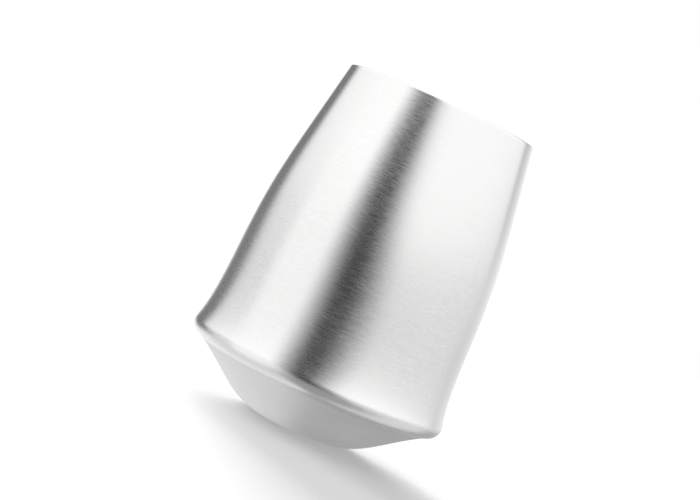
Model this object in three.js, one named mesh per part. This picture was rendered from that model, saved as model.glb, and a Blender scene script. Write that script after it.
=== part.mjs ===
// Stemless wine glass in brushed stainless steel: a double wall with a vacuum between, turned about +Z.
// Millimetres and degrees. The origin is the centre of the flat that the glass stands on.
import * as THREE from 'three';

// Outside form
const glassHeight = 119.7; // table to the top of the lip
const rimRadius = 33.9; // outside of the wall under the lip
const rimLean = 10; // how far the wall leans inwards there
const waistRadius = 43.1; // outside of the wall where the flare ends
const waistHeight = 48.4;
const waistLean = 1.8;
const crestRadius = 46; // widest place, on the crest of the bead
const crestHeight = 20;
const beadRadius = 4.05; // rounding of the bead
const flareAngle = 16; // how far up round the bead the wall leaves it
const ledgeSlope = 23; // slope of the narrow ledge from the bead in to the seam
const ledgeLength = 1.9;
const bowlSlope = 31; // slope of the base where it meets the ledge
const standRadius = 13.2; // flat that the glass stands on

// Fullness of the curves: handle lengths as shares of each curve's span
const standFullness = 0.33;
const bowlFullness = 0.4;
const flareFullness = 0.29;
const lowerWallFullness = 0.36;
const upperWallFullness = 0.58;
const linerFullness = 0.4;
const shoulderFullness = 0.5;

// Sheet metal and fits
const shellSheet = 0.5;
const linerSheet = 0.5;
const baseSheet = 0.5;
const bottomSheet = 0.6; // vacuum bottom
const weldGap = 0.3; // clearance in a welded or crimped round fit
const lipHeight = 1.1; // lip above the shell's edge
const lipRounding = 0.35; // of the lip's two edges

// Liner
const vacuumGap = 4; // between the two walls at the waist
const linerCorner = 14; // outside radius between the liner's wall and floor
const linerRimLean = 6.5;

// Vacuum bottom, its vent and the seal in it
const panelRise = 1.2; // raised panel above the crimped edge
const panelRadius = 27;
const panelShoulder = 9; // width of the slope round the panel
const recessRadius = 5; // pit that holds the sealing glass
const recessDepth = 1.2;
const recessDraft = 0.5;
const ventRadius = 1;
const sealBulge = 0.5; // how far the sealing glass is domed below the pit

// Getter
const pelletRadius = 4.5;
const pelletHeight = 2.4;
const pelletChamfer = 0.3;
const getterOffset = 16; // from the axis
const getterClearance = 1.9; // under the clip
const clipSheet = 0.5;
const clipWidth = 4;
const clipFoot = 3.5; // length of each welded foot

// Fineness of the round shapes
const turnSegments = 48;
const beadSteps = 6;
const flareSteps = 5;
const wallSteps = 9;
const bowlSteps = 8;
const cornerSteps = 6;
const lipSteps = 4;
const shoulderSteps = 3;
const pelletSegments = 24;

const radians = THREE.MathUtils.degToRad;
const point = (r, z) => new THREE.Vector2(r, z);

// A direction that leans inwards from upright, and one that slopes up outwards from level
const leaning = (angle) => point(-Math.sin(radians(angle)), Math.cos(radians(angle)));
const sloping = (angle) => point(Math.cos(radians(angle)), Math.sin(radians(angle)));

// Where the bead gives way to the ledge and the wall, and where the ledge meets the base
const beadCentre = point(crestRadius - beadRadius, crestHeight);
const onBead = (angle) => point(Math.cos(angle), Math.sin(angle)).multiplyScalar(beadRadius).add(beadCentre);
const ledgeTurn = radians(ledgeSlope - 90);
const flareTurn = radians(flareAngle);
const seam = onBead(ledgeTurn).addScaledVector(sloping(ledgeSlope), -ledgeLength);

// Where the lip sits on the shell, and the liner's rim inside it
const linerRimRadius = rimRadius - shellSheet / Math.cos(radians(rimLean)) - weldGap;
const cupRimRadius = linerRimRadius - linerSheet / Math.cos(radians(linerRimLean));
const seatHeight = glassHeight - lipHeight;

// Heights of the vacuum bottom, the getter and the liner's floor, from the crest up
const edgeUnderside = crestHeight - bottomSheet / 2;
const panelUnderside = edgeUnderside + panelRise;
const clipUnderside = panelUnderside + bottomSheet + getterClearance;
const pelletUnderside = clipUnderside + clipSheet;
const linerUnderside = pelletUnderside + pelletHeight;
const linerRadius = waistRadius - shellSheet - vacuumGap;

// A cubic curve from one point and direction to another, its handles as shares of the span
function blendCurve(start, startAlong, startShare, end, endAlong, endShare) {
  const span = start.distanceTo(end);
  const leave = start.clone().addScaledVector(startAlong, startShare * span);
  const arrive = end.clone().addScaledVector(endAlong, -endShare * span);
  return new THREE.CubicBezierCurve(start, leave, arrive, end);
}

function arc(centre, radius, startTurn, endTurn) {
  return new THREE.EllipseCurve(centre.x, centre.y, radius, radius, startTurn, endTurn);
}

// Points along curves that follow each other, with each shared end once
function chain(...stretches) {
  return stretches.flatMap(([curve, steps], i) => curve.getPoints(steps).slice(i === 0 ? 0 : 1));
}

// The other face of a sheet: each point moved square to the line, to its left
function otherFace(points, sheet) {
  return points.map((p, i) => {
    const before = points[Math.max(i - 1, 0)];
    const after = points[Math.min(i + 1, points.length - 1)];
    const along = after.clone().sub(before).normalize();
    return point(p.x - along.y * sheet, p.y + along.x * sheet);
  });
}

function named(name, geometry, look) {
  const mesh = new THREE.Mesh(geometry, new THREE.MeshStandardMaterial(look));
  mesh.name = name;
  return mesh;
}

// A solid turned about +Z from an outline that runs counter-clockwise
function turned(name, outline, look, segments = turnSegments) {
  const geometry = new THREE.LatheGeometry(outline, segments);
  geometry.rotateX(Math.PI / 2);
  return named(name, geometry, look);
}

const brushedSteel = { color: 0xbfbfbd, roughness: 0.34, metalness: 1 };
const satinSteel = { color: 0xb9b9b7, roughness: 0.42, metalness: 1 };
const plainSteel = { color: 0xa9aaab, roughness: 0.5, metalness: 1 };
const sinteredMetal = { color: 0x6d6a66, roughness: 0.9, metalness: 0.6 };
const sealingGlass = { color: 0x3f4a44, roughness: 0.2, metalness: 0 };

// Outer shell: ledge, bead, flare and wall in one sheet, cut level at the seam and under the lip
function outerShell() {
  const flareStart = onBead(flareTurn);
  const flareAlong = leaning(flareAngle);
  const waist = point(waistRadius, waistHeight);
  const rim = point(rimRadius, seatHeight);
  const flare = blendCurve(flareStart, flareAlong, flareFullness, waist, leaning(waistLean), flareFullness);
  const wall = blendCurve(
    waist, leaning(waistLean), lowerWallFullness, rim, leaning(rimLean), upperWallFullness,
  );
  const outside = chain(
    [new THREE.LineCurve(seam, onBead(ledgeTurn)), 1],
    [arc(beadCentre, beadRadius, ledgeTurn, flareTurn), beadSteps],
    [flare, flareSteps],
    [wall, wallSteps],
  );
  const inside = otherFace(outside, shellSheet);
  const seamInner = point(seam.x - shellSheet / Math.sin(radians(ledgeSlope)), seam.y);
  const rimInner = point(rimRadius - shellSheet / Math.cos(radians(rimLean)), seatHeight);
  inside[inside.length - 1] = rimInner;
  return turned('outer_shell', [...outside, ...inside.reverse(), seamInner, seam.clone()], brushedSteel);
}

// Base dish: a flat, then a bowl that rises to the level seam at the ledge
function baseDish() {
  const flatEdge = point(standRadius, 0);
  const bowl = blendCurve(flatEdge, sloping(0), standFullness, seam, sloping(bowlSlope), bowlFullness);
  const outside = [point(0, 0), ...bowl.getPoints(bowlSteps)];
  const seamInner = point(seam.x - baseSheet / Math.sin(radians(bowlSlope)), seam.y);
  const inside = otherFace(outside, baseSheet).filter((p) => p.x < seamInner.x && p.y < seam.y);
  inside[0] = point(0, baseSheet);
  return turned('base_dish', [...outside, seamInner, ...inside.reverse()], satinSteel);
}

// Inner cup: floor, corner and wall of the liner, with the lip that caps both walls
function innerCup() {
  const cornerCentre = point(linerRadius - linerCorner, linerUnderside + linerCorner);
  const wallStart = point(linerRadius, cornerCentre.y);
  const wallEnd = point(linerRimRadius, seatHeight);
  const wall = blendCurve(
    wallStart, leaning(0), linerFullness, wallEnd, leaning(linerRimLean), linerFullness,
  );
  const outside = [
    point(0, linerUnderside),
    ...chain([arc(cornerCentre, linerCorner, -Math.PI / 2, 0), cornerSteps], [wall, wallSteps]),
  ];
  const inside = otherFace(outside, linerSheet);
  inside[0] = point(0, linerUnderside + linerSheet);
  inside[inside.length - 1] = point(cupRimRadius, seatHeight);
  // the lip goes on with the lean of both walls, and its top is level between two roundings
  const outerTurn = radians(rimLean);
  const innerTurn = radians(linerRimLean);
  const riseToRounding = lipHeight - lipRounding;
  const roundingHeight = seatHeight + riseToRounding;
  const outerCentre = point(
    rimRadius - riseToRounding * Math.tan(outerTurn) - lipRounding / Math.cos(outerTurn), roundingHeight,
  );
  const innerCentre = point(
    cupRimRadius - riseToRounding * Math.tan(innerTurn) + lipRounding / Math.cos(innerTurn), roundingHeight,
  );
  const lip = [
    point(rimRadius, seatHeight),
    ...arc(outerCentre, lipRounding, outerTurn, Math.PI / 2).getPoints(lipSteps),
    ...arc(innerCentre, lipRounding, Math.PI / 2, Math.PI + innerTurn).getPoints(lipSteps),
  ];
  return turned('inner_cup', [...outside, ...lip, ...inside.reverse()], satinSteel);
}

// Vacuum bottom: a disc crimped in the bead's hollow, with a raised panel and a pit round the vent
function vacuumBottom() {
  const edgeRadius = crestRadius - shellSheet - weldGap;
  const shoulder = blendCurve(
    point(panelRadius, panelUnderside), sloping(0), shoulderFullness,
    point(panelRadius + panelShoulder, edgeUnderside), sloping(0), shoulderFullness,
  );
  const underside = [
    point(ventRadius, panelUnderside + recessDepth),
    point(recessRadius, panelUnderside + recessDepth),
    point(recessRadius + recessDraft, panelUnderside),
    ...shoulder.getPoints(shoulderSteps),
    point(edgeRadius, edgeUnderside),
  ];
  const topside = underside.map((p) => point(p.x, p.y + bottomSheet));
  topside[1].x += bottomSheet;
  topside[2].x += bottomSheet;
  return turned('vacuum_bottom', [...underside, ...topside.reverse(), underside[0].clone()], plainSteel);
}

// Seal: glass melted into the pit, flat against its roof and domed below
function sealBead() {
  const radius = recessRadius - weldGap;
  const roof = panelUnderside + recessDepth;
  const edge = point(radius, panelUnderside);
  const dome = new THREE.QuadraticBezierCurve(
    point(0, panelUnderside - sealBulge), point(radius / 2, panelUnderside - sealBulge), edge,
  );
  return turned('seal_bead', [...dome.getPoints(lipSteps), point(radius, roof), point(0, roof)], sealingGlass,
    pelletSegments);
}

// Getter pellet: a chamfered disc, flat against the liner's underside
function getterPellet() {
  const inner = pelletRadius - pelletChamfer;
  const outline = [
    point(0, pelletUnderside),
    point(inner, pelletUnderside),
    point(pelletRadius, pelletUnderside + pelletChamfer),
    point(pelletRadius, linerUnderside - pelletChamfer),
    point(inner, linerUnderside),
    point(0, linerUnderside),
  ];
  const pellet = turned('getter_pellet', outline, sinteredMetal, pelletSegments);
  pellet.position.x = getterOffset;
  return pellet;
}

// Getter clip: a strap under the pellet with its two feet welded to the liner
function getterClip() {
  const legInner = pelletRadius + weldGap;
  const legOuter = legInner + clipSheet;
  const footEnd = legOuter + clipFoot;
  const footUnderside = linerUnderside - clipSheet;
  const half = [
    point(legOuter, clipUnderside),
    point(legOuter, footUnderside),
    point(footEnd, footUnderside),
    point(footEnd, linerUnderside),
    point(legInner, linerUnderside),
    point(legInner, pelletUnderside),
  ];
  const otherHalf = half.map((p) => point(-p.x, p.y)).reverse();
  const strap = new THREE.ExtrudeGeometry(new THREE.Shape([...half, ...otherHalf]), {
    depth: clipWidth,
    bevelEnabled: false,
  });
  // the strap's outline lies in the Y-Z plane and its width along X
  strap.translate(0, 0, -clipWidth / 2);
  strap.applyMatrix4(new THREE.Matrix4().makeBasis(
    new THREE.Vector3(0, 1, 0), new THREE.Vector3(0, 0, 1), new THREE.Vector3(1, 0, 0),
  ));
  const clip = named('getter_clip', strap, plainSteel);
  clip.position.x = getterOffset;
  return clip;
}

const wineGlass = new THREE.Group();
wineGlass.add(
  outerShell(), innerCup(), vacuumBottom(), baseDish(), getterPellet(), getterClip(), sealBead(),
);

export default wineGlass;
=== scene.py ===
import math

import bpy
import numpy as np
from mathutils import Matrix, Vector


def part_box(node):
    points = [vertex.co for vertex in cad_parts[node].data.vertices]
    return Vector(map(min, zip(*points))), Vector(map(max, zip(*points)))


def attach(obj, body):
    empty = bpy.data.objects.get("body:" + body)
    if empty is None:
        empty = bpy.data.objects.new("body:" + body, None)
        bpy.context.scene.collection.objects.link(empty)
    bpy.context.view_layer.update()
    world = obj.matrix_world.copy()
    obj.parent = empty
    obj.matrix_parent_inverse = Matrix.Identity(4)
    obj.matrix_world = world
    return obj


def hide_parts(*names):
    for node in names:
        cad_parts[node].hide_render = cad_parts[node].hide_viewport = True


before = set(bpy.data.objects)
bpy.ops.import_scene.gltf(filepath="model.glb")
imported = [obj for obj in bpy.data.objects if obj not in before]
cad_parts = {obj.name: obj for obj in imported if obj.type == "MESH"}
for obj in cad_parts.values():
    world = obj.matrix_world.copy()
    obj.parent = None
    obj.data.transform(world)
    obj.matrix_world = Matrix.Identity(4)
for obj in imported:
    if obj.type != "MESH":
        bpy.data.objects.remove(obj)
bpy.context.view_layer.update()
mm = 0.001
tiny = 1e-7   # a radius below this is on the axis
white = (1, 1, 1, 1)


# angles are in degrees throughout
def cosine(angle):
    return math.cos(math.radians(angle))


def sine(angle):
    return math.sin(math.radians(angle))


# Camera: where the photograph was taken from, seen from the glass standing upright.
# The glass is rocked over in the picture, so the camera is rolled instead.
photoCamera = {
    "distance": 645.4 * mm,   # from the glass's axis
    "height": 78.5 * mm,      # above the table
    "pan": -0.70,             # to the left
    "tilt": -1.42,            # downwards
    "roll": 24.86,            # the lean of the glass in the picture
    "focalPixels": 1900,
    "pictureWide": 700,       # pixels
    "sensorWide": 36,         # Blender's own millimetres
    "nearest": 10 * mm,       # what is closer isn't drawn
}


def placeCamera(c):
    pan, tilt, roll = c["pan"], c["tilt"], c["roll"]
    ahead = Vector((sine(pan) * cosine(tilt), cosine(pan) * cosine(tilt), sine(tilt)))
    level = Vector((cosine(pan), -sine(pan), 0))
    upright = level.cross(ahead)
    right = level * cosine(roll) + upright * sine(roll)
    up = upright * cosine(roll) - level * sine(roll)
    camera = bpy.data.objects.new("photoCamera", bpy.data.cameras.new("photoCamera"))
    camera.data.sensor_width = c["sensorWide"]
    camera.data.lens = c["focalPixels"] / c["pictureWide"] * c["sensorWide"]
    camera.data.clip_start = c["nearest"]
    turn = Matrix((right, up, -ahead)).transposed().to_4x4()
    camera.matrix_world = Matrix.Translation((0, -c["distance"], c["height"])) @ turn
    bpy.context.scene.collection.objects.link(camera)
    bpy.context.scene.camera = camera


placeCamera(photoCamera)
print("stage 1: camera placed")


# Profile tools: every outline is an array of (radius, height) rows


# the way upwards, leaning in by the angle
def leaning(angle):
    return np.array((-sine(angle), cosine(angle)))


# the way outwards, rising by the angle
def sloping(angle):
    return np.array((cosine(angle), sine(angle)))


# cubic from one point and direction to another, with handles as shares of the span
def blendCurve(start, startAlong, startShare, end, endAlong, endShare, steps):
    start, end = np.asarray(start, float), np.asarray(end, float)
    span = np.linalg.norm(end - start)
    leave = start + startAlong * startShare * span
    arrive = end - endAlong * endShare * span
    t = np.linspace(0, 1, steps + 1)[:, None]
    return (1 - t) ** 3 * start + 3 * (1 - t) ** 2 * t * leave + 3 * (1 - t) * t * t * arrive + t ** 3 * end


# circle arc: centre + radius * (cos, sin) of an evenly stepped turn
def arcCurve(centre, radius, startTurn, endTurn, steps):
    turn = np.radians(np.linspace(startTurn, endTurn, steps + 1))
    return np.asarray(centre) + radius * np.column_stack((np.cos(turn), np.sin(turn)))


# stretches that follow each other, with each shared end once
def chain(*stretches):
    return np.vstack([stretches[0]] + [s[1:] for s in stretches[1:]])


# the sheet's other face: each point moved square to the line, to its left
def otherFace(points, sheet):
    along = np.gradient(points, axis=0)
    along /= np.linalg.norm(along, axis=1)[:, None]
    return points + sheet * np.column_stack((-along[:, 1], along[:, 0]))


# Turned surface: x = r(s) cos a, y = r(s) sin a, z = z(s), for s along the outline and a round the axis.
# An outline that starts and ends on the axis is closed with a pole, and any other closes on itself.
# The UV map is (way along the outline / uvLength, share of a turn).
turning = {"segments": 192, "sharpAngle": 38, "uvLength": 100 * mm, "uvName": "turned"}


def turnedPoints(rings):
    angle = 2 * math.pi * np.arange(turning["segments"]) / turning["segments"]
    return np.stack((
        rings[:, :1] * np.cos(angle),
        rings[:, :1] * np.sin(angle),
        np.repeat(rings[:, 1:], turning["segments"], axis=1),
    ), axis=-1).reshape(-1, 3)


# quads between ring i and the next, and from spoke j to the next, with a UV row for each corner
def turnedQuads(ringCount, along, closesOnItself):
    around = turning["segments"]
    i = np.arange(ringCount if closesOnItself else ringCount - 1)[:, None]
    j = np.arange(around)[None, :]
    nextRing, nextSpoke = (i + 1) % ringCount, (j + 1) % around
    corners = (i * around + j, i * around + nextSpoke, nextRing * around + nextSpoke, nextRing * around + j)
    quads = np.stack(np.broadcast_arrays(*corners), axis=-1).reshape(-1, 4)
    low, high, turnA, turnB = along[i], along[i + 1], j / around, (j + 1) / around
    uvCorners = ((low, turnA), (low, turnB), (high, turnB), (high, turnA))
    uv = [np.stack(np.broadcast_arrays(*corner), axis=-1) for corner in uvCorners]
    return quads, np.stack(uv, axis=-2).reshape(-1, 2)


# fans of triangles between the first ring and the low pole, and between the last ring and the high one
def poleFans(ringCount, along):
    around = turning["segments"]
    spoke = np.arange(around)
    nextSpoke = (spoke + 1) % around
    lowPole, highPole = ringCount * around, ringCount * around + 1
    lastRing = (ringCount - 1) * around
    lowFan = np.column_stack((np.full(around, lowPole), nextSpoke, spoke))
    highFan = np.column_stack((lastRing + spoke, lastRing + nextSpoke, np.full(around, highPole)))
    turnA, turnMid, turnB = spoke / around, (spoke + 0.5) / around, (spoke + 1) / around

    def fanUv(*corners):
        rows = [np.column_stack((np.full(around, way), turn)) for way, turn in corners]
        return np.stack(rows, axis=1).reshape(-1, 2)

    lowUv = fanUv((along[0], turnMid), (along[1], turnB), (along[1], turnA))
    highUv = fanUv((along[-2], turnA), (along[-2], turnB), (along[-1], turnMid))
    return np.vstack((lowFan, highFan)), np.vstack((lowUv, highUv))


def turnedPiece(name, outline, look, nodeName):
    poled = outline[0, 0] < tiny
    steps = np.linalg.norm(np.diff(outline, axis=0), axis=1)
    along = np.r_[0, np.cumsum(steps)] / turning["uvLength"]
    rings = outline[1:-1] if poled else outline[:-1]
    points = turnedPoints(rings)
    quads, uv = turnedQuads(len(rings), along[1:] if poled else along, not poled)
    faces = quads.tolist()
    if poled:
        fans, fanUv = poleFans(len(rings), along)
        points = np.vstack((points, (0, 0, outline[0, 1]), (0, 0, outline[-1, 1])))
        faces += fans.tolist()
        uv = np.vstack((uv, fanUv))

    mesh = bpy.data.meshes.new(name)
    mesh.from_pydata(points.tolist(), [], faces)
    mesh.uv_layers.new(name=turning["uvName"]).data.foreach_set("uv", uv.ravel())
    mesh.polygons.foreach_set("use_smooth", np.ones(len(faces), bool))
    mesh.set_sharp_from_angle(angle=math.radians(turning["sharpAngle"]))
    mesh.materials.append(look)
    mesh.update()
    piece = bpy.data.objects.new(name, mesh)
    bpy.context.scene.collection.objects.link(piece)
    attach(piece, "root")
    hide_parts(nodeName)
    print("made", name, "with", len(faces), "faces")


# Node helpers: a value is a socket to link from, or a number to set
def feed(tree, value, socket):
    if isinstance(value, bpy.types.NodeSocket):
        tree.links.new(value, socket)
    else:
        socket.default_value = value


def maths(tree, operation, *values):
    node = tree.nodes.new("ShaderNodeMath")
    node.operation = operation
    for value, socket in zip(values, node.inputs):
        feed(tree, value, socket)
    return node.outputs[0]


def ranged(tree, value, fromLow, fromHigh, toLow=0.0, toHigh=1.0, curve="LINEAR"):
    node = tree.nodes.new("ShaderNodeMapRange")
    node.interpolation_type = curve
    for given, socket in zip((value, fromLow, fromHigh, toLow, toHigh), node.inputs):
        feed(tree, given, socket)
    return node.outputs["Result"]


def blended(tree, factor, first, second):
    node = tree.nodes.new("ShaderNodeMix")
    node.data_type = "RGBA"
    for value, name in ((factor, "Factor"), (first, "A"), (second, "B")):
        feed(tree, value, node.inputs[name])
    return node.outputs["Result"]


def noise(tree, vector, scale, detail, roughness=0.5):
    node = tree.nodes.new("ShaderNodeTexNoise")
    for value, name in ((vector, "Vector"), (scale, "Scale"), (detail, "Detail"), (roughness, "Roughness")):
        feed(tree, value, node.inputs[name])
    return node.outputs["Fac"]


def bumped(tree, shader, height, depth, strength=1.0):
    bump = tree.nodes.new("ShaderNodeBump")
    bump.inputs["Strength"].default_value = strength
    bump.inputs["Distance"].default_value = depth
    tree.links.new(height, bump.inputs["Height"])
    tree.links.new(bump.outputs["Normal"], shader.inputs["Normal"])


def newMaterial(name):
    material = bpy.data.materials.new(name)
    material.use_nodes = True
    return material, material.node_tree, material.node_tree.nodes["Principled BSDF"]


steelBlue = 0.994   # steel's grey is a little warm: its blue is this share of its red and green
noiseRange = (0.3, 0.7)   # nearly all of a noise lies between these


def grey(level):
    return (level, level, level * steelBlue, 1)


# Brush grain, shared by the steel finishes: noise drawn out round the axis, the way of the brushing.
# Its place is (x / length, y / length, way along the outline / spacing). Its three outputs lie about 0.5,
# and its sizes are in millimetres.
grainSizes = {"Line Spacing": 0.3, "Line Length": 4.0, "Band Spacing": 1.5, "Band Length": 20.0}
grainForm = {"lineDetail": 0.5, "bandDetail": 1.0, "cloudDetail": 3.0, "cloudsPerMetre": 45.0}


def makeBrushGrain(g):
    group = bpy.data.node_groups.new("brushGrain", "ShaderNodeTree")
    for name, size in grainSizes.items():
        socket = group.interface.new_socket(name, in_out="INPUT", socket_type="NodeSocketFloat")
        socket.default_value = size
    for name in ("Streak", "Band", "Cloud"):
        group.interface.new_socket(name, in_out="OUTPUT", socket_type="NodeSocketFloat")
    given, result = group.nodes.new("NodeGroupInput"), group.nodes.new("NodeGroupOutput")
    place, turnedUv = group.nodes.new("ShaderNodeTexCoord"), group.nodes.new("ShaderNodeUVMap")
    turnedUv.uv_map = turning["uvName"]
    across, along = group.nodes.new("ShaderNodeSeparateXYZ"), group.nodes.new("ShaderNodeSeparateXYZ")
    group.links.new(place.outputs["Object"], across.inputs[0])
    group.links.new(turnedUv.outputs["UV"], along.inputs[0])

    def drawnOut(spacing, length, detail):
        vector = group.nodes.new("ShaderNodeCombineXYZ")
        perLength = maths(group, "DIVIDE", 1 / mm, given.outputs[length])
        perSpacing = maths(group, "DIVIDE", turning["uvLength"] / mm, given.outputs[spacing])
        feed(group, maths(group, "MULTIPLY", across.outputs["X"], perLength), vector.inputs["X"])
        feed(group, maths(group, "MULTIPLY", across.outputs["Y"], perLength), vector.inputs["Y"])
        feed(group, maths(group, "MULTIPLY", along.outputs["X"], perSpacing), vector.inputs["Z"])
        return noise(group, vector.outputs[0], 1.0, detail)

    clouds = noise(group, place.outputs["Object"], g["cloudsPerMetre"], g["cloudDetail"])
    feed(group, drawnOut("Line Spacing", "Line Length", g["lineDetail"]), result.inputs["Streak"])
    feed(group, drawnOut("Band Spacing", "Band Length", g["bandDetail"]), result.inputs["Band"])
    feed(group, clouds, result.inputs["Cloud"])
    return group


brushGrain = makeBrushGrain(grainForm)

# Steel finish: tone, roughness and bump follow the grain, and highlights are drawn out across the brushing.
# Above polishFrom the steel is polished, as on the lip.
polishBlend = 0.3 * mm   # the height over which the polish sets in


def steelFinish(name, f):
    material, tree, shader = newMaterial(name)
    shader.inputs["Metallic"].default_value = 1
    shader.inputs["Anisotropic"].default_value = f["anisotropic"]
    grain = tree.nodes.new("ShaderNodeGroup")
    grain.node_tree = brushGrain
    for socketName in grainSizes:
        grain.inputs[socketName].default_value = f[socketName]
    streak, band, cloud = (grain.outputs[n] for n in ("Streak", "Band", "Cloud"))

    streaks = maths(tree, "MULTIPLY", streak, 1 - f["bandShare"])
    mixed = maths(tree, "MULTIPLY_ADD", band, f["bandShare"], streaks)
    tone = blended(tree, ranged(tree, mixed, *noiseRange), grey(f["darkTone"]), grey(f["lightTone"]))
    feed(tree, tone, shader.inputs["Base Color"])

    lines = ranged(tree, mixed, *noiseRange, -f["lineRoughness"], f["lineRoughness"])
    clouds = ranged(tree, cloud, *noiseRange, -f["cloudRoughness"], f["cloudRoughness"])
    rough = maths(tree, "ADD", maths(tree, "ADD", lines, clouds), f["roughness"])
    place = tree.nodes.new("ShaderNodeTexCoord")
    height = tree.nodes.new("ShaderNodeSeparateXYZ")
    tree.links.new(place.outputs["Object"], height.inputs[0])
    polishFull = f["polishFrom"] + polishBlend
    polish = ranged(tree, height.outputs["Z"], f["polishFrom"], polishFull, 1.0, f["polish"])
    feed(tree, maths(tree, "MULTIPLY", rough, polish), shader.inputs["Roughness"])

    bumped(tree, shader, maths(tree, "MULTIPLY", mixed, polish), f["lineDepth"])
    tangent = tree.nodes.new("ShaderNodeTangent")
    tangent.direction_type = "UV_MAP"
    tangent.uv_map = turning["uvName"]
    tree.links.new(tangent.outputs["Tangent"], shader.inputs["Tangent"])
    return material


brushedFinish = {
    "darkTone": 0.605, "lightTone": 0.64, "anisotropic": 0.87, "bandShare": 0.2,
    "roughness": 0.25, "lineRoughness": 0.03, "cloudRoughness": 0.012,
    "Line Spacing": 0.4, "Line Length": 2.6, "Band Spacing": 1.6, "Band Length": 24.0,
    "lineDepth": 0.0065 * mm, "polishFrom": 119 * mm, "polish": 1.0,
}
baseFinish = {
    "darkTone": 0.59, "lightTone": 0.64, "anisotropic": 0.3, "bandShare": 0.4,
    "roughness": 0.46, "lineRoughness": 0.03, "cloudRoughness": 0.03,
    "Line Spacing": 0.5, "Line Length": 5.0, "Band Spacing": 1.8, "Band Length": 24.0,
    "lineDepth": 0.03 * mm, "polishFrom": 119 * mm, "polish": 1.0,
}
satinFinish = {
    "darkTone": 0.57, "lightTone": 0.63, "anisotropic": 0.6, "bandShare": 0.5,
    "roughness": 0.34, "lineRoughness": 0.03, "cloudRoughness": 0.025,
    "Line Spacing": 0.5, "Line Length": 7.0, "Band Spacing": 2.0, "Band Length": 30.0,
    "lineDepth": 0.02 * mm, "polishFrom": 118.4 * mm, "polish": 0.7,
}
brushedSteel = steelFinish("brushedSteel", brushedFinish)
baseSteel = steelFinish("baseSteel", baseFinish)
satinSteel = steelFinish("satinSteel", satinFinish)

# Mill finish of the hidden sheet: soft blotches and a fine rolled grain along x
plainFinish = {
    "darkTone": 0.46, "lightTone": 0.56, "roughness": 0.42,
    "blotch": 0.06, "blotchesPerMetre": 90.0, "blotchDetail": 4.0,
    "grainPerMetre": (120, 1800, 1800), "grainDetail": 2.0, "grainDepth": 0.01 * mm,
}


def makePlainSteel(f):
    material, tree, shader = newMaterial("plainSteel")
    shader.inputs["Metallic"].default_value = 1
    place = tree.nodes.new("ShaderNodeTexCoord")
    stretch = tree.nodes.new("ShaderNodeMapping")
    stretch.inputs["Scale"].default_value = f["grainPerMetre"]
    tree.links.new(place.outputs["Object"], stretch.inputs["Vector"])
    rolled = noise(tree, stretch.outputs["Vector"], 1.0, f["grainDetail"])
    blotch = noise(tree, place.outputs["Object"], f["blotchesPerMetre"], f["blotchDetail"])
    tone = blended(tree, blotch, grey(f["darkTone"]), grey(f["lightTone"]))
    feed(tree, tone, shader.inputs["Base Color"])
    smooth, dull = f["roughness"] - f["blotch"], f["roughness"] + f["blotch"]
    feed(tree, ranged(tree, blotch, *noiseRange, smooth, dull), shader.inputs["Roughness"])
    bumped(tree, shader, rolled, f["grainDepth"])
    return material


# Sintered getter: packed grains, with the pores between them painted near-black as shade in these hollows.
# A grain falls off between slopeFrom and slopeTo, which are shares of its size.
getterFinish = {
    "poreShade": (0.05, 0.048, 0.045, 1), "grain": (0.21, 0.2, 0.19, 1), "metallic": 0.6,
    "grainRoughness": 0.65, "poreRoughness": 0.9,
    "grainSize": 0.25 * mm, "slopeFrom": 0.15, "slopeTo": 0.75, "poreDepth": 0.08 * mm,
}


def makeSinteredGetter(f):
    material, tree, shader = newMaterial("sinteredGetter")
    shader.inputs["Metallic"].default_value = f["metallic"]
    place = tree.nodes.new("ShaderNodeTexCoord")
    cells = tree.nodes.new("ShaderNodeTexVoronoi")
    cells.inputs["Scale"].default_value = 1 / f["grainSize"]
    tree.links.new(place.outputs["Object"], cells.inputs["Vector"])
    raised = ranged(tree, cells.outputs["Distance"], f["slopeFrom"], f["slopeTo"], 1.0, 0.0)
    # painted shade: the hollows between grains take the near-black colour, the grains their own
    feed(tree, blended(tree, raised, f["poreShade"], f["grain"]), shader.inputs["Base Color"])
    rough = ranged(tree, raised, 0.0, 1.0, f["poreRoughness"], f["grainRoughness"])
    feed(tree, rough, shader.inputs["Roughness"])
    bumped(tree, shader, raised, f["poreDepth"])
    return material


# Sealing glass: a dark fused drop with slow swirls and a slightly uneven skin
sealFinish = {
    "deep": (0.03, 0.042, 0.037, 1), "swirl": (0.075, 0.095, 0.085, 1), "ior": 1.55,
    "deepRoughness": 0.08, "swirlRoughness": 0.2,
    "swirlSize": 3 * mm, "swirlDetail": 3.0, "swirlUnrest": 0.6, "swirlRange": (0.35, 0.65),
    "skinDepth": 0.05 * mm, "skinStrength": 0.4,
}


def makeSealingGlass(f):
    material, tree, shader = newMaterial("sealingGlass")
    shader.inputs["IOR"].default_value = f["ior"]
    place = tree.nodes.new("ShaderNodeTexCoord")
    swirl = noise(tree, place.outputs["Object"], 1 / f["swirlSize"], f["swirlDetail"], f["swirlUnrest"])
    tone = blended(tree, ranged(tree, swirl, *f["swirlRange"]), f["deep"], f["swirl"])
    feed(tree, tone, shader.inputs["Base Color"])
    rough = ranged(tree, swirl, *f["swirlRange"], f["deepRoughness"], f["swirlRoughness"])
    feed(tree, rough, shader.inputs["Roughness"])
    bumped(tree, shader, swirl, f["skinDepth"], f["skinStrength"])
    return material


# the CAD nodes that stay as they are get their finish here
plainSteel = makePlainSteel(plainFinish)
hiddenLooks = {
    "vacuum_bottom": plainSteel,
    "getter_clip": plainSteel,
    "getter_pellet": makeSinteredGetter(getterFinish),
    "seal_bead": makeSealingGlass(sealFinish),
}
for hiddenNode, hiddenLook in hiddenLooks.items():
    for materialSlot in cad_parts[hiddenNode].material_slots:
        materialSlot.material = hiddenLook
print("stage 2: finishes made")


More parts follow.
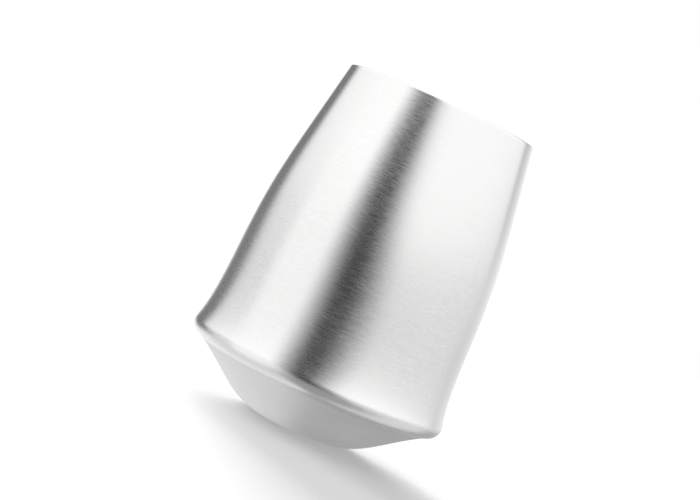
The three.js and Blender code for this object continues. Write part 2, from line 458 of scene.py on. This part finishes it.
# Outer form, shared by the shell, the base that meets it at the seam and the cup that meets it at the lip
form = {
    "glassHeight": 119.7 * mm, "rimRadius": 33.9 * mm, "rimLean": 10, "linerRimLean": 6.5,
    "waistRadius": 43.1 * mm, "waistHeight": 48.4 * mm, "waistLean": 1.8,
    "crestRadius": 46 * mm, "crestHeight": 20 * mm, "beadRadius": 4.05 * mm, "flareAngle": 16,
    "ledgeSlope": 23, "ledgeLength": 1.9 * mm, "bowlSlope": 31, "standRadius": 13.2 * mm,
    "sheet": 0.5 * mm, "weldGap": 0.3 * mm, "lipHeight": 1.1 * mm,
}
beadCentre = np.array((form["crestRadius"] - form["beadRadius"], form["crestHeight"]))
ledgeTurn = form["ledgeSlope"] - 90   # where on the bead's circle the ledge meets it
ledgeEnd = arcCurve(beadCentre, form["beadRadius"], ledgeTurn, ledgeTurn, 1)[0]
seam = ledgeEnd - form["ledgeLength"] * sloping(form["ledgeSlope"])
linerRimRadius = form["rimRadius"] - form["sheet"] / cosine(form["rimLean"]) - form["weldGap"]
cupRimRadius = linerRimRadius - form["sheet"] / cosine(form["linerRimLean"])
seatHeight = form["glassHeight"] - form["lipHeight"]

# Outer shell: up the outside over ledge, bead, flare and wall, and down the sheet's other face to the seam
shellFine = {
    "ledgeSteps": 4, "beadSteps": 26, "flareSteps": 30, "wallSteps": 60,
    "flareFullness": 0.29, "lowerWallFullness": 0.36, "upperWallFullness": 0.58,
}


def shellOutline(s):
    ledge = np.linspace(seam, ledgeEnd, s["ledgeSteps"] + 1)
    bead = arcCurve(beadCentre, form["beadRadius"], ledgeTurn, form["flareAngle"], s["beadSteps"])
    waist = (form["waistRadius"], form["waistHeight"])
    upright = leaning(form["waistLean"])
    flare = blendCurve(bead[-1], leaning(form["flareAngle"]), s["flareFullness"],
                       waist, upright, s["flareFullness"], s["flareSteps"])
    wall = blendCurve(waist, upright, s["lowerWallFullness"],
                      (form["rimRadius"], seatHeight), leaning(form["rimLean"]),
                      s["upperWallFullness"], s["wallSteps"])
    outside = chain(ledge, bead, flare, wall)
    inside = otherFace(outside, form["sheet"])
    inside[-1] = (form["rimRadius"] - form["sheet"] / cosine(form["rimLean"]), seatHeight)
    seamInner = (seam[0] - form["sheet"] / sine(form["ledgeSlope"]), seam[1])
    return np.vstack((outside, inside[::-1], seamInner, outside[:1]))


turnedPiece("outerShell", shellOutline(shellFine), brushedSteel, "outer_shell")

# Base dish: out from the axis over the flat and the bowl to the seam, and back over the sheet's other face
dishFine = {"bowlSteps": 60, "standFullness": 0.33, "bowlFullness": 0.4, "flatSteps": 4}


def dishOutline(d):
    flat = np.column_stack((np.linspace(0, form["standRadius"], d["flatSteps"] + 1),
                            np.zeros(d["flatSteps"] + 1)))
    bowl = blendCurve(flat[-1], sloping(0), d["standFullness"],
                      seam, sloping(form["bowlSlope"]), d["bowlFullness"], d["bowlSteps"])
    outside = chain(flat, bowl)
    seamInner = np.array((seam[0] - form["sheet"] / sine(form["bowlSlope"]), seam[1]))
    inside = otherFace(outside, form["sheet"])
    inside = inside[(inside[:, 0] < seamInner[0]) & (inside[:, 1] < seam[1])]
    inside[0] = (0, form["sheet"])
    return np.vstack((outside, seamInner, inside[::-1]))


turnedPiece("baseDish", dishOutline(dishFine), baseSteel, "base_dish")

# Inner cup: out from the axis under floor, corner and wall, over the lip, and back down the inside
cupFine = {
    "radius": 38.6 * mm, "corner": 14 * mm, "fullness": 0.4, "lipRounding": 0.35 * mm,
    "floorSteps": 6, "cornerSteps": 28, "wallSteps": 60, "lipSteps": 8,
}


def cupOutline(c):
    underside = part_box("inner_cup")[0].z
    centre = np.array((c["radius"] - c["corner"], underside + c["corner"]))
    floor = np.column_stack((np.linspace(0, centre[0], c["floorSteps"] + 1),
                             np.full(c["floorSteps"] + 1, underside)))
    corner = arcCurve(centre, c["corner"], -90, 0, c["cornerSteps"])
    wall = blendCurve(corner[-1], leaning(0), c["fullness"], (linerRimRadius, seatHeight),
                      leaning(form["linerRimLean"]), c["fullness"], c["wallSteps"])
    outside = chain(floor, corner, wall)
    inside = otherFace(outside, form["sheet"])
    inside[0] = (0, underside + form["sheet"])
    inside[-1] = (cupRimRadius, seatHeight)
    # the lip goes on with the lean of both walls, and its top is level between two roundings
    rounding, outerLean, innerLean = c["lipRounding"], form["rimLean"], form["linerRimLean"]
    rise = form["lipHeight"] - rounding
    outerX = form["rimRadius"] - rise * sine(outerLean) / cosine(outerLean) - rounding / cosine(outerLean)
    innerX = cupRimRadius - rise * sine(innerLean) / cosine(innerLean) + rounding / cosine(innerLean)
    outerEdge = arcCurve((outerX, seatHeight + rise), rounding, outerLean, 90, c["lipSteps"])
    innerEdge = arcCurve((innerX, seatHeight + rise), rounding, 90, 180 + innerLean, c["lipSteps"])
    return np.vstack((outside, (form["rimRadius"], seatHeight), outerEdge, innerEdge, inside[::-1]))


turnedPiece("innerCup", cupOutline(cupFine), satinSteel, "inner_cup")
print("stage 3: pieces made")


# Studio: plain white walls, dimmer by the table, with a bright panel at the left and dark gaps between
# panels. Azimuth is measured from the camera's side, positive to the right. A panel's sides are given at
# eye level, and they lean by so many degrees of azimuth for each degree of elevation. Its reach is in
# elevation, and the walls go from lowLevel to highLevel between riseFrom and riseTo.
studio = {"strength": 1.6, "lowLevel": 0.66, "highLevel": 1.08, "riseFrom": 3, "riseTo": 20, "softness": 7}
panels = {
    "leftPanel": {"sides": (-84, -20), "soft": (8, 4), "lean": 0, "reach": (-35, 16), "level": 0.9},
    # the three table panels are painted light and shade: they stand for the floor in reflections, painted
    # lit at the back left and painted shaded at the back right and in front near the glass
    "paintedTableLightLeft": {"sides": (-176, -125), "soft": (8, 15), "lean": 0, "reach": (-90, -12), "level": 0.78},
    "paintedTableShadeRight": {"sides": (125, 184), "soft": (15, 8), "lean": 0, "reach": (-90, -6), "level": 0.35},
    "paintedTableShadeNear": {"sides": (-35, 60), "soft": (20, 30), "lean": 0, "reach": (-90, -16), "level": 0.3},
    "backLeftGap": {"sides": (-163, -122), "soft": (6, 9), "lean": -1.1, "reach": (-16, 36), "level": 0.16},
    "backRightGap": {"sides": (134, 178), "soft": (3, 9), "lean": 0, "reach": (10, 40), "level": 0.24},
}
halfTurn = 180.0


def makeStudio(s, panelSet):
    world = bpy.data.worlds.new("studio")
    bpy.context.scene.world = world
    world.use_nodes = True
    tree = world.node_tree
    nodes, links = tree.nodes, tree.links
    nodes.clear()
    output = nodes.new("ShaderNodeOutputWorld")

    direction = nodes.new("ShaderNodeTexCoord")
    split = nodes.new("ShaderNodeSeparateXYZ")
    links.new(direction.outputs["Generated"], split.inputs[0])
    backwards = maths(tree, "MULTIPLY", split.outputs["Y"], -1.0)
    azimuth = maths(tree, "DEGREES", maths(tree, "ARCTAN2", split.outputs["X"], backwards))
    elevation = maths(tree, "DEGREES", maths(tree, "ARCSINE", split.outputs["Z"]))

    def within(value, low, high, lowSoft, highSoft):
        above = ranged(tree, value, low - lowSoft, low + lowSoft, curve="SMOOTHSTEP")
        below = ranged(tree, value, high - highSoft, high + highSoft, 1.0, 0.0, "SMOOTHSTEP")
        return maths(tree, "MULTIPLY", above, below)

    # each panel takes the light towards its own level, by its share there
    light = ranged(tree, elevation, s["riseFrom"], s["riseTo"], s["lowLevel"], s["highLevel"], "SMOOTHSTEP")
    for panel in panelSet.values():
        left, right = panel["sides"]
        half = (right - left) / 2
        middle = maths(tree, "MULTIPLY_ADD", elevation, panel["lean"], (left + right) / 2)
        aside = maths(tree, "WRAP", maths(tree, "SUBTRACT", azimuth, middle), halfTurn, -halfTurn)
        across = within(aside, -half, half, *panel["soft"])
        upwards = within(elevation, *panel["reach"], s["softness"], s["softness"])
        share = maths(tree, "MULTIPLY", across, upwards)
        change = maths(tree, "SUBTRACT", panel["level"], light)
        light = maths(tree, "MULTIPLY_ADD", change, share, light)

    # the camera itself sees plain white behind the glass
    room, backdrop = nodes.new("ShaderNodeBackground"), nodes.new("ShaderNodeBackground")
    links.new(light, room.inputs["Color"])
    room.inputs["Strength"].default_value = s["strength"]
    backdrop.inputs["Color"].default_value = white
    path, choose = nodes.new("ShaderNodeLightPath"), nodes.new("ShaderNodeMixShader")
    links.new(path.outputs["Is Camera Ray"], choose.inputs["Fac"])
    links.new(room.outputs[0], choose.inputs[1])
    links.new(backdrop.outputs[0], choose.inputs[2])
    links.new(choose.outputs[0], output.inputs["Surface"])
    bpy.context.scene.view_settings.view_transform = "Standard"


makeStudio(studio, panels)

# Flag: a dark cloth in front of the glass, that only reflections show. Each of its sides fades between two
# straight lines, x = start + slant * height, and its foot and top fade within endSoft. Its cover is the
# share of light that it holds back.
flagCloth = {
    "distance": 220 * mm, "half": 400 * mm, "colour": (0, 0, 0, 1), "roughness": 1, "cover": 0.97,
    "foot": -30 * mm, "top": 260 * mm, "endSoft": 20 * mm,
    "left": {"clear": (-170 * mm, -0.28), "full": (-20 * mm, -0.3)},
    "right": {"clear": (200 * mm, -0.88), "full": (-10 * mm, -0.2)},
}


def makeFlag(c):
    mesh = bpy.data.meshes.new("flag")
    y, h = -c["distance"], c["half"]
    mesh.from_pydata([(-h, y, -h), (h, y, -h), (h, y, h), (-h, y, h)], [], [(0, 1, 2, 3)])
    material, tree, shader = newMaterial("darkCloth")
    shader.inputs["Base Color"].default_value = c["colour"]
    shader.inputs["Roughness"].default_value = c["roughness"]
    shader.inputs["Specular IOR Level"].default_value = 0
    place = tree.nodes.new("ShaderNodeTexCoord")
    split = tree.nodes.new("ShaderNodeSeparateXYZ")
    tree.links.new(place.outputs["Object"], split.inputs[0])
    across, height = split.outputs["X"], split.outputs["Z"]

    def lineAt(start, slant):
        return maths(tree, "MULTIPLY_ADD", height, slant, start)

    def sideFade(side):
        clear = lineAt(*side["clear"])
        width = maths(tree, "SUBTRACT", lineAt(*side["full"]), clear)
        inwards = maths(tree, "DIVIDE", maths(tree, "SUBTRACT", across, clear), width)
        return ranged(tree, inwards, 0.0, 1.0, curve="SMOOTHSTEP")

    def endFade(end, low, high):
        return ranged(tree, height, end - c["endSoft"], end + c["endSoft"], low, high, "SMOOTHSTEP")

    sides = maths(tree, "MULTIPLY", sideFade(c["left"]), sideFade(c["right"]))
    ends = maths(tree, "MULTIPLY", endFade(c["foot"], 0.0, c["cover"]), endFade(c["top"], 1.0, 0.0))
    feed(tree, maths(tree, "MULTIPLY", sides, ends), shader.inputs["Alpha"])
    mesh.materials.append(material)
    flag = bpy.data.objects.new("flag", mesh)
    bpy.context.scene.collection.objects.link(flag)
    for ray in ("camera", "diffuse", "transmission", "volume_scatter", "shadow"):
        setattr(flag, "visible_" + ray, False)


makeFlag(flagCloth)

# Floor lights: a broad soft one from behind and a weaker one from the left, that only the floor shows
floorLights = {
    "keyLight": {"azimuth": -164, "elevation": 15, "spread": 28, "strength": 34},
    "fillLight": {"azimuth": -120, "elevation": 14, "spread": 26, "strength": 8},
}


def makeFloorLight(name, k):
    lamp = bpy.data.lights.new(name, "SUN")
    lamp.energy = k["strength"]
    lamp.angle = math.radians(k["spread"])
    light = bpy.data.objects.new(name, lamp)
    towards = Vector((sine(k["azimuth"]), -cosine(k["azimuth"]), 0)) * cosine(k["elevation"])
    towards.z = sine(k["elevation"])
    light.matrix_world = towards.to_track_quat("Z", "Y").to_matrix().to_4x4()
    light.visible_glossy = False   # so the steel doesn't show it
    bpy.context.scene.collection.objects.link(light)


for lightName, lightValues in floorLights.items():
    makeFloorLight(lightName, lightValues)

# Floor: a plain pale sweep, level with the base, with a little light of its own
floorLook = {"half": 6.0, "tone": 0.16, "roughness": 0.9, "glow": 0.34}   # half is metres, middle to side


def makeFloor(f):
    mesh = bpy.data.meshes.new("floor")
    h = f["half"]
    mesh.from_pydata([(-h, -h, 0), (h, -h, 0), (h, h, 0), (-h, h, 0)], [], [(0, 1, 2, 3)])
    material, _, shader = newMaterial("paleFloor")
    shader.inputs["Base Color"].default_value = (f["tone"], f["tone"], f["tone"], 1)
    shader.inputs["Roughness"].default_value = f["roughness"]
    shader.inputs["Specular IOR Level"].default_value = 0
    shader.inputs["Emission Color"].default_value = white
    shader.inputs["Emission Strength"].default_value = f["glow"]
    mesh.materials.append(material)
    floor = bpy.data.objects.new("floor", mesh)
    bpy.context.scene.collection.objects.link(floor)
    floor.visible_glossy = False   # in reflections the table panels stand for it


makeFloor(floorLook)
print("stage 4: studio lit")
